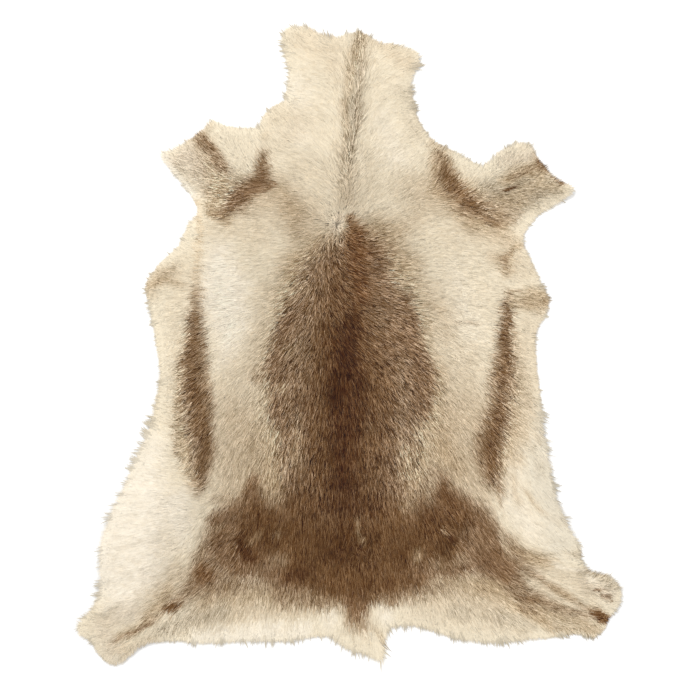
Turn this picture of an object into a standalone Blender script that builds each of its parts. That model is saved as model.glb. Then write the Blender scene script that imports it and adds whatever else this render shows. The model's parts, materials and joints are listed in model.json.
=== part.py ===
"""A tanned reindeer hide with its coat on, laid flat, hair side up.

One closed solid in metres: +Z is up, +Y runs to the neck, +X to the animal's right side of the spread hide.
The solid takes in the skin and the pile that stands on it, out to where the dense hair ends.
It rests on its flat underside, and only the folds and a few curled corners lift off the ground.
"""

import math

import bpy
from mathutils import Vector
from mathutils.geometry import delaunay_2d_cdt

CM = 0.01

# Driving dimensions. The outline below sets the length, 1.158 m, and the width, 0.98 m.
RIM_THICKNESS = 0.5 * CM  # skin and flattened hair at the very edge
EDGE_THICKNESS = 1.4 * CM  # skin and pile just inside the edge, and all over the legs
BACK_THICKNESS = 2.6 * CM  # skin and pile over the back
EDGE_WIDTH = 4 * CM  # from the rim to the full edge thickness
BACK_WIDTH = 14 * CM  # from there to the full back thickness
OUTLINE_STEP = 1.8 * CM  # longest straight piece of the rim
GRID_STEP = 2.5 * CM  # spacing of the points that carry the folds

COAT_COLOUR = (0.42, 0.31, 0.21, 1.0)
COAT_ROUGHNESS = 0.85

# The rim, clockwise from the left of the neck, seen from above. Each row is (across, along) in centimetres
# from the spine and from the middle of the hide's length.
OUTLINE = {
    "neck end": [
        (-11.9, 56.4), (-8.0, 57.9), (-2.5, 56.2), (2.2, 57.0), (5.0, 55.6), (12.9, 53.1),
    ],
    "right of the neck": [
        (12.5, 49.0), (12.1, 46.0), (12.6, 42.0), (14.0, 39.0), (16.5, 36.6), (20.0, 35.0), (24.3, 32.8),
    ],
    "right foreleg": [
        (27.4, 35.4), (30.5, 36.9), (33.1, 36.5), (34.7, 33.8), (37.6, 30.4), (41.0, 28.6),
        (39.2, 26.2), (34.7, 23.5), (32.5, 21.0), (31.7, 18.5),
    ],
    "right flank": [
        (33.3, 15.6), (34.8, 11.8), (36.5, 8.4), (35.7, 5.0), (34.1, 2.2), (34.6, -6.5), (36.7, -19.0),
        (38.1, -26.0), (40.2, -31.4), (42.2, -35.8), (42.2, -38.4),
    ],
    "right hind leg": [
        (43.6, -40.2), (47.3, -41.0), (49.1, -43.0), (49.3, -46.0), (47.4, -48.8), (46.4, -51.1),
        (44.2, -52.7), (41.2, -51.9),
    ],
    "right of the rump": [
        (36.7, -52.7), (31.0, -53.4), (24.7, -53.7), (18.0, -52.6), (13.3, -51.0), (8.8, -50.8),
    ],
    "tail": [
        (7.4, -52.2), (7.1, -55.0), (6.7, -57.9), (3.4, -56.0), (-0.5, -54.9), (-3.0, -52.8),
    ],
    "left of the rump": [
        (-6.7, -52.8), (-12.0, -53.6), (-18.5, -53.5), (-25.2, -53.9), (-32.0, -53.3), (-36.5, -53.7),
    ],
    "left hind leg": [
        (-39.2, -56.3), (-41.9, -57.6), (-44.0, -56.6), (-45.3, -54.9), (-46.3, -53.0), (-48.3, -51.9),
        (-48.7, -49.9), (-46.0, -46.8),
    ],
    "left flank": [
        (-45.2, -43.0), (-45.4, -37.0), (-43.9, -31.4), (-41.2, -25.5), (-37.8, -17.7), (-35.3, -11.6),
        (-33.9, -5.7), (-34.6, 0.5), (-36.1, 8.2), (-36.5, 11.4), (-33.8, 15.3), (-30.6, 18.1),
        (-29.6, 20.4), (-28.6, 22.4),
    ],
    "left foreleg": [
        (-27.1, 23.6), (-27.6, 26.0), (-29.9, 29.1), (-32.7, 32.4), (-34.3, 34.9), (-31.9, 35.4),
        (-29.2, 37.0), (-25.9, 39.3), (-24.3, 41.0), (-22.4, 40.0), (-16.7, 39.4),
    ],
    "left of the neck": [
        (-15.7, 41.0), (-13.9, 43.1), (-11.8, 44.2), (-11.2, 46.0), (-11.2, 49.5),
    ],
}

# Folds in centimetres: (from across, from along, to across, to along, half width, lift).
# The skin arches off the ground along a fold, and the pile rides over it.
FOLDS = {
    "left elbow": (-26.2, 22.0, -25.0, 9.0, 3.2, 1.0),
    "left flank edge": (-31.2, -4.0, -31.0, -15.5, 3.0, 1.2),
    "left flank edge, lower": (-31.0, -15.5, -27.0, -23.0, 3.0, 1.2),
    "right elbow": (30.5, 18.0, 28.2, 7.0, 3.0, 0.8),
    "right flank edge": (29.8, 2.0, 29.6, -16.5, 3.0, 0.9),
    "right groin": (31.0, -26.0, 40.0, -33.5, 4.0, 1.1),
    "left belly, upper": (-29.5, -25.0, -41.0, -28.5, 2.8, 0.7),
    "left belly, middle": (-28.5, -30.5, -44.0, -34.5, 3.0, 0.8),
    "left belly, lower": (-28.0, -36.0, -44.5, -41.5, 3.0, 0.7),
    "right belly, upper": (31.5, -12.0, 35.5, -14.5, 2.4, 0.6),
    "right belly, middle": (31.5, -18.5, 37.0, -21.5, 2.4, 0.6),
    "left hock, upper": (-29.0, -43.5, -45.5, -49.5, 2.6, 0.9),
    "left hock, lower": (-30.0, -48.5, -42.5, -55.5, 2.6, 0.8),
    "right hock": (31.0, -43.0, 46.5, -43.5, 2.8, 0.9),
    "left foreleg": (-22.0, 31.0, -31.5, 34.5, 3.2, 0.9),
    "right foreleg": (27.0, 28.5, 38.5, 29.0, 3.2, 0.9),
}

# Where the pile alone stands higher, or dips below zero, with the same columns: the skin stays down.
PILE_CHANGES = {
    "mane": (2.2, 55.0, -0.5, 23.0, 2.8, 0.3),
    "spine": (1.0, 18.0, 0.2, -45.0, 2.5, -0.2),
    "left shoulder": (-25.5, 24.0, -14.0, 31.5, 2.8, -0.5),
    "right shoulder": (16.5, 35.0, 29.5, 20.0, 2.8, -0.5),
    "left hock": (-31.0, -46.5, -43.0, -53.5, 1.8, -0.5),
    "right hock": (34.0, -46.0, 46.5, -48.0, 1.8, -0.5),
    "left haunch": (-19.0, -36.0, -17.0, -38.0, 3.0, -0.4),
    "right haunch": (18.5, -34.0, 19.5, -37.0, 3.0, -0.4),
    "right groin, upper": (27.4, -28.5, 29.0, -33.0, 1.8, -0.4),
    "right groin, lower": (29.0, -33.0, 41.5, -38.4, 1.8, -0.4),
    "tail": (2.0, -46.0, 6.0, -56.5, 2.6, 0.3),
}

# Corners that curl up a little: (across, along, reach, lift) in centimetres.
CURLS = {
    "neck, left": (-12.0, 57.0, 5.0, 0.8),
    "neck, right": (13.0, 53.0, 4.5, 0.7),
    "right foreleg": (41.0, 28.6, 5.0, 0.9),
    "left foreleg": (-34.3, 35.0, 5.0, 0.9),
    "left foreleg point": (-24.3, 41.0, 4.0, 0.8),
    "right hind leg": (49.3, -47.0, 5.0, 0.6),
    "left hind leg": (-48.7, -50.5, 5.0, 0.7),
    "tail": (6.7, -58.0, 4.0, 0.5),
}


def smooth_step(value):
    """Eases from 0 to 1 as the value goes from 0 to 1."""
    value = min(max(value, 0.0), 1.0)
    return value * value * (3.0 - 2.0 * value)


def spline_point(before, start, end, after, part):
    """A point of the Catmull-Rom curve between start and end."""
    bend = 2.0 * before - 5.0 * start + 4.0 * end - after
    twist = 3.0 * (start - end) + after - before
    return start + 0.5 * part * (end - before + part * (bend + part * twist))


def rim_points():
    """The rim as short steps along a smooth closed curve through the outline's points."""
    corners = [Vector(point) * CM for stretch in OUTLINE.values() for point in stretch]
    corners.reverse()
    points = []
    for index, start in enumerate(corners):
        before = corners[index - 1]
        end = corners[(index + 1) % len(corners)]
        after = corners[(index + 2) % len(corners)]
        steps = math.ceil((end - start).length / OUTLINE_STEP)
        points += [spline_point(before, start, end, after, step / steps) for step in range(steps)]
    return points


def distance_to_line(point, start, end):
    """How far a point is from a straight line between two points."""
    line = end - start
    share = (point - start).dot(line) / max(line.length_squared, 1e-12)
    share = min(max(share, 0.0), 1.0)
    return (point - start - line * share).length


def rim_distance(point, rim):
    """How far a point is from the rim."""
    return min(distance_to_line(point, rim[index - 1], rim[index]) for index in range(len(rim)))


def is_inside(point, rim):
    """True for a point within the rim, by the number of times that a ray from it crosses the rim."""
    inside = False
    for index, end in enumerate(rim):
        start = rim[index - 1]
        if (start.y > point.y) != (end.y > point.y):
            crossing = start.x + (point.y - start.y) / (end.y - start.y) * (end.x - start.x)
            inside ^= point.x < crossing
    return inside


def grid_points(rim):
    """Points in staggered rows inside the rim, none of them nearly on it."""
    row_step = GRID_STEP * math.sqrt(0.75)
    half_width = max(abs(point.x) for point in rim)
    half_length = max(abs(point.y) for point in rim)
    columns = math.ceil(half_width / GRID_STEP)
    rows = math.ceil(half_length / row_step)
    points = []
    for row in range(-rows, rows + 1):
        for column in range(-columns, columns + 1):
            point = Vector(((column + 0.5 * (row % 2)) * GRID_STEP, row * row_step))
            if is_inside(point, rim) and rim_distance(point, rim) > 0.45 * GRID_STEP:
                points.append(point)
    return points


def relief(point, lines):
    """The height that a table of folds or pile changes gives a point: the strongest of its rows there."""
    heights = []
    for x_from, y_from, x_to, y_to, half_width, lift in lines.values():
        distance = distance_to_line(point, Vector((x_from, y_from)) * CM, Vector((x_to, y_to)) * CM)
        heights.append(lift * CM * smooth_step(1.0 - distance / (half_width * CM)))
    return max(heights, key=abs)


def curl(point):
    """How far the curled corners lift the skin at a point."""
    height = 0.0
    for x, y, reach, lift in CURLS.values():
        distance = (point - Vector((x, y)) * CM).length
        height += lift * CM * smooth_step(1.0 - distance / (reach * CM))
    return height


def thickness(point, rim):
    """Skin and pile together, thin at the rim and thickest over the back."""
    distance = rim_distance(point, rim)
    rounding = math.sin(0.5 * math.pi * min(distance / EDGE_WIDTH, 1.0))
    inward = smooth_step((distance - EDGE_WIDTH) / BACK_WIDTH)
    full = RIM_THICKNESS + (EDGE_THICKNESS - RIM_THICKNESS) * rounding
    full += (BACK_THICKNESS - EDGE_THICKNESS) * inward
    return full + relief(point, PILE_CHANGES) * rounding


def hide_mesh():
    """The closed surface of the hide: an upper and a lower face of the same triangles, joined at the rim."""
    rim = rim_points()
    flat = rim + grid_points(rim)
    flat, _, triangles, *_ = delaunay_2d_cdt(flat, [], [list(range(len(rim)))], 1, 1e-6)
    centre_x = 0.5 * (min(point.x for point in rim) + max(point.x for point in rim))
    centre_y = 0.5 * (min(point.y for point in rim) + max(point.y for point in rim))
    lower, upper = [], []
    for point in flat:
        ground = relief(point, FOLDS) + curl(point)
        place = (point.x - centre_x, point.y - centre_y)
        lower.append((*place, ground))
        upper.append((*place, ground + thickness(point, rim)))
    count = len(flat)
    faces = [tuple(reversed(triangle)) for triangle in triangles]
    faces += [tuple(index + count for index in triangle) for triangle in triangles]
    edges = {(face[turn - 1], face[turn]) for face in triangles for turn in range(3)}
    for start, end in sorted(edges):
        if (end, start) not in edges:
            faces.append((start, end, end + count, start + count))
    mesh = bpy.data.meshes.new("hide")
    mesh.from_pydata(lower + upper, [], faces)
    mesh.validate()
    mesh.shade_smooth()
    return mesh


def coat_material():
    """The brown of the coat, matt."""
    material = bpy.data.materials.new("coat")
    material.use_nodes = True
    shader = material.node_tree.nodes["Principled BSDF"]
    shader.inputs["Base Color"].default_value = COAT_COLOUR
    shader.inputs["Roughness"].default_value = COAT_ROUGHNESS
    shader.inputs["Metallic"].default_value = 0.0
    return material


def main():
    for old in list(bpy.data.objects):
        bpy.data.objects.remove(old)
    hide = bpy.data.objects.new("hide", hide_mesh())
    hide.data.materials.append(coat_material())
    bpy.context.scene.collection.objects.link(hide)


main()
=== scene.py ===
"""The looks of a reindeer hide laid on a pale floor: its skin, and the hair that grows on it.

Short tables comb the hair, colour it and give it its length, in centimetres from the spine and from the
middle of the hide's length. The rim, the folds and the depth of the pile all come from the CAD solid.
"""

import json
import math

import bpy
import numpy as np
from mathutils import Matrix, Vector
from mathutils.bvhtree import BVHTree
from mathutils.geometry import delaunay_2d_cdt

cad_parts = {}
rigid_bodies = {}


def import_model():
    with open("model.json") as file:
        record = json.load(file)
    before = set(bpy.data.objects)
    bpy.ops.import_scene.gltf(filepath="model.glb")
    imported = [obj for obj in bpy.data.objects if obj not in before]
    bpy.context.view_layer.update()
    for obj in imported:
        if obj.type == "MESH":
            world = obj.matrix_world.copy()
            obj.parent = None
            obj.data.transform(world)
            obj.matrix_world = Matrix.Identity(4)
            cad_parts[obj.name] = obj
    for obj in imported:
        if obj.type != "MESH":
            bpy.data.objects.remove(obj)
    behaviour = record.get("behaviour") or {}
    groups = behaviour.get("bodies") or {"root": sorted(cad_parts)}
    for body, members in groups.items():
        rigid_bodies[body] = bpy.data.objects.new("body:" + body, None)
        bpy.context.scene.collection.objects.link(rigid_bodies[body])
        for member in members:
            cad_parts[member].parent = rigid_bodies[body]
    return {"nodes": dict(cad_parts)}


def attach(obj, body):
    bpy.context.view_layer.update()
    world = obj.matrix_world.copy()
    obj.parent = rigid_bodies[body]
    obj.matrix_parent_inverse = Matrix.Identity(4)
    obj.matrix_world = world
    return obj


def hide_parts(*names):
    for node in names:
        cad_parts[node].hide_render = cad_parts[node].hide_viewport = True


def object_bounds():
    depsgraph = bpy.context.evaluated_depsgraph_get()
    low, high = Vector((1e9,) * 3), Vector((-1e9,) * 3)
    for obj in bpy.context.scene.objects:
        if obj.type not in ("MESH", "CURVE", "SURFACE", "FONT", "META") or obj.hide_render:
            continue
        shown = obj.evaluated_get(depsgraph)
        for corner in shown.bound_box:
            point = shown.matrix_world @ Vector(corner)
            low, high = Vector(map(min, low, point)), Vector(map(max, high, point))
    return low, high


CM = 0.01
MM = 0.001
SPINE_ACROSS = -0.2 * CM  # the spine runs a little left of the middle of the hide's box

# Sizes of the skin and of its hair.
SKIN_THICKNESS = 2.0 * MM
SKIN_INSET = 8 * MM  # from the rim of the coat in to the cut edge of the skin
SOFT_INSET = 9 * MM  # further in, where the hair is long
SKIN_STEP = 12 * MM  # spacing of the points of the skin
SKIN_SHADE = 0.78  # of the coat's colour, for the skin between the hairs: painted shade, dark as the shaded roots
HAIR_COUNT = 480000
HAIR_WIDTH = 0.85 * MM  # a tuft of a few hairs, at its bend
BEND = 0.38  # where along its length a hair bends over
VARIED = (0.75, 1.25)  # shares of the usual length or width that a single hair has
FULL_PARTING = 90.0  # per metre, the spread of the hair's directions where it is laid bare
COAT_BANDS = ("neck", "shoulders", "back", "loin", "rump")

# The edge of the coat.
FRINGE_SPLAY = 22 * MM  # hair this near the rim turns outwards
FRINGE_REACH = 12 * MM  # past the rim, of the longest tufts of the fringe
FRINGE_WIDTH = 2.3  # times as wide, for a blade that stands for a tuft of the fringe
FRINGE_ROOTS = 4 * CM  # the fringe's roots are this near the rim
TUFT_SHARE = 0.27  # of the hairs of a tuft, that pass the dense edge of the coat
STRAY_SHARE = 0.006  # of all hairs, that pass it on their own
DENSE_EDGE = (-2.0 * MM, 1.8 * MM)  # where the other hairs end past the rim, and its spread
DEEPEST_EDGE = 19 * MM  # inside the rim, where the shortest of them end
EDGE_WIDTH = 2.4 * CM  # over which the pile settles inside the rim, and its heights fade outside it

# Steps of the lattices that hold the hide's shape and the way its hair lies.
SHAPE_STEP = 3 * MM
COMB_STEP = 4 * MM
MARGIN = 6 * CM  # of the lattices round the hide
NOISE_CELLS = 512  # along each side of a square of soft noise, before it repeats

# Streaks that run along the hair: (spacing, reach to each side).
STREAKS = {
    "hair": (0.75 * MM, 3 * MM),
    "lock": (2.2 * MM, 11 * MM),
    "tuft": (2.8 * MM, 24 * MM),
    "wave": (8 * MM, 50 * MM),
}

# Colours of the hair, and of the underside of the skin, as 8-bit sRGB.
PALETTE = {
    "ivory": (241, 231, 213),
    "cream": (231, 218, 193),
    "bone": (222, 212, 192),
    "peach": (229, 209, 177),
    "sand": (218, 202, 175),
    "blush": (213, 196, 172),
    "fawn": (203, 183, 153),
    "ash": (186, 170, 144),
    "tan": (180, 155, 120),
    "taupe": (150, 123, 91),
    "brown": (123, 90, 57),
    "umber": (101, 66, 30),
    "rust": (112, 72, 34),
    "dark": (72, 36, 4),
    "suede": (206, 184, 152),
}

# The coat's markings over plain cream, one table for each part of the hide.
# Each row is (colour, soft edge, strength, points), and each point is (across, along, half width). The soft
# edge is how far the colour takes to fade out, half of it inside the half width.
BELLY = [
    ("ivory", 6, 0.95, [(-35, -18, 2), (-38, -29, 5.6), (-40, -38, 7.6), (-41, -44, 4)]),
    ("blush", 5, 0.15, [(-31, -31, 1), (-34, -38, 2), (-37, -44, 2)]),
    ("ash", 1.6, 0.22, [(-33, -33.5, 0.2), (-36.5, -35, 0.4), (-40, -36, 0.2)]),
    ("bone", 4, 0.9, [(33, -12, 2), (35, -24, 3), (38.5, -31, 4), (38, -36, 3)]),
    ("ivory", 4, 0.6, [(30, -21, 1), (29.5, -28, 2), (33, -33, 2)]),
    ("ash", 2.4, 0.8, [(37.6, -22, 0.5), (40.4, -30.6, 0.9), (42.2, -35, 0.6)]),
    ("tan", 1, 0.5, [(32, -25.6, 0.2), (33, -27.4, 0.4), (35.5, -30, 0.2)]),
    ("ash", 2, 0.35, [(36.5, -31, 0.5), (39, -31.6, 0.9)]),
    ("ash", 2, 0.4, [(33, -10, 0.8), (34, -13.5, 0.8), (33.5, -18, 0.8), (35, -23, 0.6)]),
]
NECK = [
    ("sand", 5, 0.8, [(-9, 55, 2), (-3, 53, 3), (-2, 48, 1)]),
    ("fawn", 1.6, 0.6, [(-7, 57.2, 0.5), (-3, 56.2, 0.4)]),
    ("ivory", 5, 0.5, [(-9, 47, 2), (-9, 38, 2)]),
    ("ivory", 5, 0.5, [(6, 41, 1.2), (9, 34, 2)]),
    ("fawn", 4, 0.7, [(4.4, 55, 0.8), (7, 53.6, 0.8), (11, 51, 1.2)]),
    ("ash", 4, 0.45, [(9.6, 46, 1), (12, 45, 1.8), (13, 38.6, 1.4)]),
    ("sand", 5, 0.7, [(-13, 41.6, 2.4), (-8, 41, 1.8), (-12, 36, 1)]),
    ("ash", 2.2, 0.6, [(2.2, 55.6, 1.4), (1.6, 50, 2), (1.2, 42, 2), (0.2, 35, 1.4), (-1, 29.6, 0.5)]),
    ("fawn", 3, 0.55, [(-0.4, 36, 1.4), (0, 31, 2), (-0.6, 26, 1.4)]),
    ("tan", 2, 0.6, [(2.4, 55.8, 1.2), (1.2, 53, 1.2), (0, 47, 0.5), (-0.6, 38, 0.5)]),
    ("taupe", 1.6, 0.3, [(3.2, 54.5, 0.4), (2.2, 46, 0.4), (1.6, 39, 0.6), (0.4, 35, 0.2)]),
]
SHOULDERS = [
    ("fawn", 7, 0.85, [(-21, 24, 1), (-13, 26.6, 3.4), (-8, 23, 3)]),
    ("sand", 5, 0.5, [(-9, 31.6, 2), (-4, 31, 1)]),
    ("tan", 4, 0.6, [(-12.5, 28.5, 0.8), (-10, 24.4, 1.4), (-9, 20, 1)]),
    ("sand", 6, 0.8, [(-24, 21, 1), (-16, 20.4, 2)]),
    ("sand", 6, 0.5, [(4, 33, 1), (4, 27, 1.4)]),
    ("fawn", 2.4, 0.5, [(-15, 38, 0.8)]),
    ("fawn", 7, 0.7, [(11, 28, 2), (13.4, 25, 2), (10, 21.5, 1.6)]),
    ("fawn", 4, 0.6, [(13, 29.4, 1), (15.6, 27, 1.4)]),
    ("sand", 5, 0.5, [(18, 20, 1), (24, 18, 1.4)]),
    ("fawn", 3, 0.25, [(0.5, 27, 1), (2.4, 24.6, 1)]),
]
FLANKS = [
    ("ivory", 6, 0.95, [(-23, 17, 1.6), (-22.6, 10, 4.6), (-21, 3, 3), (-22, -3, 0.6)]),
    ("sand", 6, 0.7, [(-17, -1, 1.4), (-20, -8, 5)]),
    ("fawn", 7, 0.9, [(-20, -13, 3.5), (-19, -19, 5.5), (-19, -25.6, 4.6)]),
    ("ivory", 5, 0.9, [(-29, -26, 1), (-30.6, -29, 2.8), (-30, -34, 1.6)]),
    ("fawn", 5, 0.5, [(-14.6, 10, 0.8), (-15.6, 4, 1.2), (-16.4, -4, 1)]),
    ("tan", 5, 0.5, [(-16, -10, 0.6), (-17, -18, 1.6), (-17, -24, 1.6)]),
    ("tan", 5, 0.9, [(-12.6, -19, 1), (-13.4, -25, 3)]),
    ("taupe", 2.4, 0.85, [(-17, -24.4, 0.9), (-15, -27.6, 1.6), (-13, -28.6, 1.6)]),
    ("taupe", 3, 0.6, [(-24, -27.6, 0.5), (-20, -27.6, 1)]),
    ("ivory", 6, 0.4, [(19, 13, 1.4), (22, 2, 2)]),
    ("fawn", 6, 0.7, [(15, 10, 0.6), (16.6, 6, 1.4), (17.6, 2, 1)]),
    ("sand", 7, 0.9, [(20, -4, 4), (20, -8, 5)]),
    ("fawn", 7, 0.9, [(20, -13, 4.4), (18, -20, 6.6), (23, -25, 3.6)]),
    ("tan", 6, 0.85, [(15.4, -5, 1), (16.4, -18, 2), (19, -22, 1.4)]),
    ("tan", 4, 0.8, [(12.4, -20, 1.6), (11.8, -27, 2.4)]),
    ("taupe", 3, 0.8, [(15.6, -22, 0.6), (13, -25.6, 1.3), (13, -30, 2)]),
    ("taupe", 1, 0.5, [(19.6, 3.9, 0.2), (23, 4.2, 0.15)]),
    ("tan", 1.4, 0.5, [(14.6, 8, 0.4), (16.4, 6.4, 0.3)]),
]
FLAPS = [
    ("sand", 4, 0.6, [(-29.5, 16, 1), (-31, 2, 0.6), (-32, -8, 0.8)]),
    ("fawn", 3, 0.9, [(-36, 9.6, 0.8), (-34.5, 12.4, 1.8), (-31.6, 13.6, 1.2)]),
    ("tan", 2, 0.65, [(-36, 10.8, 0.6), (-33, 12, 0.8), (-30, 11, 0.5)]),
    ("peach", 1.4, 0.9, [(-27.4, 26, 0.5), (-26.8, 22, 0.6), (-27, 17, 0.6), (-27, 12, 0.3)]),
    ("tan", 0.9, 0.7, [(-27.2, 24, 0.1), (-26.8, 19, 0.2), (-26.9, 13.4, 0.3)]),
    ("sand", 3, 0.8, [(31, 16, 1.4), (33, 13, 1.4), (31, 11, 1)]),
    ("tan", 2.4, 0.75, [(29.6, 7.8, 0.8), (33, 8.4, 2), (35.4, 8.4, 1.8)]),
    ("taupe", 1.4, 0.4, [(34.8, 6, 0.4), (36, 8.6, 0.6)]),
    ("taupe", 0.8, 0.8, [(28.8, 9.4, 0.15), (31, 10, 0.1)]),
    ("cream", 0.9, 0.8, [(29.4, 10.4, 0.3), (33.6, 12, 0.4)]),
    ("sand", 3, 0.8, [(33, 4, 1.6), (33, -4, 2), (31.6, -16, 1.6)]),
    ("fawn", 3, 0.75, [(30.4, 2, 0.6), (31, -2, 1), (31.4, -10.6, 1.8), (29.8, -20, 1.8)]),
]
SADDLE = [
    ("tan", 5, 0.85, [
        (0.4, 19.4, 0.4), (-4.6, 16, 4.2), (-6.2, 12, 6.4), (-6, 5, 7.4), (-7, -6, 8.4), (-7, -17, 7.6),
    ]),
    ("tan", 5, 0.8, [(-7, -17, 7.6), (-5, -27, 8)]),
    ("tan", 5, 0.85, [
        (2.6, 20.6, 0.8), (5, 18, 4.8), (6, 12, 7), (6, 5, 8), (7.4, -6, 9), (6, -17, 8), (4, -27, 7),
    ]),
    ("tan", 4, 0.6, [(12.4, 8, 0.8), (13.4, 4, 1.2)]),
    ("taupe", 4, 0.5, [(-5, 16, 1.2), (-8, 13, 1.6)]),
    ("brown", 4.5, 0.78, [
        (1, 19.8, 0.8), (-2, 15.6, 3.4), (-3.6, 10, 5.4), (-5, 4, 7), (-5, -5, 7.8), (-4, -15, 7.6),
    ]),
    ("brown", 4.5, 0.85, [(-4, -15, 7.6), (-3, -27, 9)]),
    ("brown", 4.5, 0.88, [
        (2, 20, 1), (3.4, 16, 3.8), (3, 8, 6.4), (4.6, 1, 8), (6, -5, 8.6), (4, -14, 8), (3, -27, 8),
    ]),
    ("brown", 2.4, 0.8, [
        (-11, 4.6, 1), (-12.2, 1, 1.2), (-13, -4, 1.5), (-12.8, -11.6, 1.3), (-12, -14, 0.8),
    ]),
    ("taupe", 3, 0.7, [(-15.6, -5.6, 1.4)]),
    ("tan", 1.6, 0.5, [(-15, -8.4, 0.3), (-12, -7.6, 0.9)]),
    ("tan", 2, 0.55, [(-11, -1, 0.9), (-9, 0.4, 0.4)]),
    ("tan", 3, 0.6, [(-9.4, -12.6, 0.8), (-9, -20.4, 1.6)]),
    ("taupe", 3, 0.5, [(-8, -2, 1), (-7, 4, 0.7), (6, 5.6, 1.4), (5, 2.6, 0.6)]),
    ("brown", 2.4, 0.78, [
        (10.2, 8.6, 1), (11.6, 4.6, 1.4), (11.6, 0.4, 1.4), (13.6, -4, 1.5), (13.4, -12, 1.2),
    ]),
    ("taupe", 3, 0.6, [(9.6, -3, 0.6), (9.8, -12, 1), (9.6, -18, 1.4)]),
    ("tan", 3, 0.6, [(10.2, -18, 1), (10.6, -23, 1.6)]),
    ("umber", 6, 0.85, [
        (-1.6, 13.6, 1), (-2.4, 8, 2), (-3.4, 0, 3.4), (-3, -8, 3.8), (-3, -18, 4.4), (-3, -28, 5),
    ]),
    ("umber", 6, 0.8, [
        (2.6, 14, 1), (1.8, 6, 2), (4, -3, 3.4), (4, -8, 3.8), (2.6, -18, 3.8), (2, -28, 3.6),
    ]),
    ("umber", 2, 0.4, [(9, 1.6, 0.8), (10, 0.4, 0.5)]),
    ("tan", 2.4, 0.45, [(-8, 12.4, 0.6), (-7.6, 9.8, 0.8)]),
    ("tan", 2.4, 0.25, [(3.6, -14.6, 0.9)]),
    ("rust", 2.4, 0.9, [(0.7, 22.8, 0.4), (1.4, 20, 1.1), (2, 17, 2), (1.6, 13.6, 1.4), (2.4, 9, 1.2)]),
    ("dark", 4, 0.95, [
        (1, 6, 0.6), (0, 0, 2.2), (-0.4, -8, 3), (-0.4, -15, 2.6), (-0.8, -22, 2), (-0.6, -29, 2.2),
    ]),
    ("dark", 2.4, 0.3, [(-3, 1, 1), (-3.4, -6, 1)]),
    ("blush", 1.8, 0.9, [(-2.3, 21, 0.9), (-1.2, 23, 0.6)]),
    ("fawn", 2, 0.4, [(-3.4, 18.8, 0.7), (-1.4, 18.4, 0.5)]),
]
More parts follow.
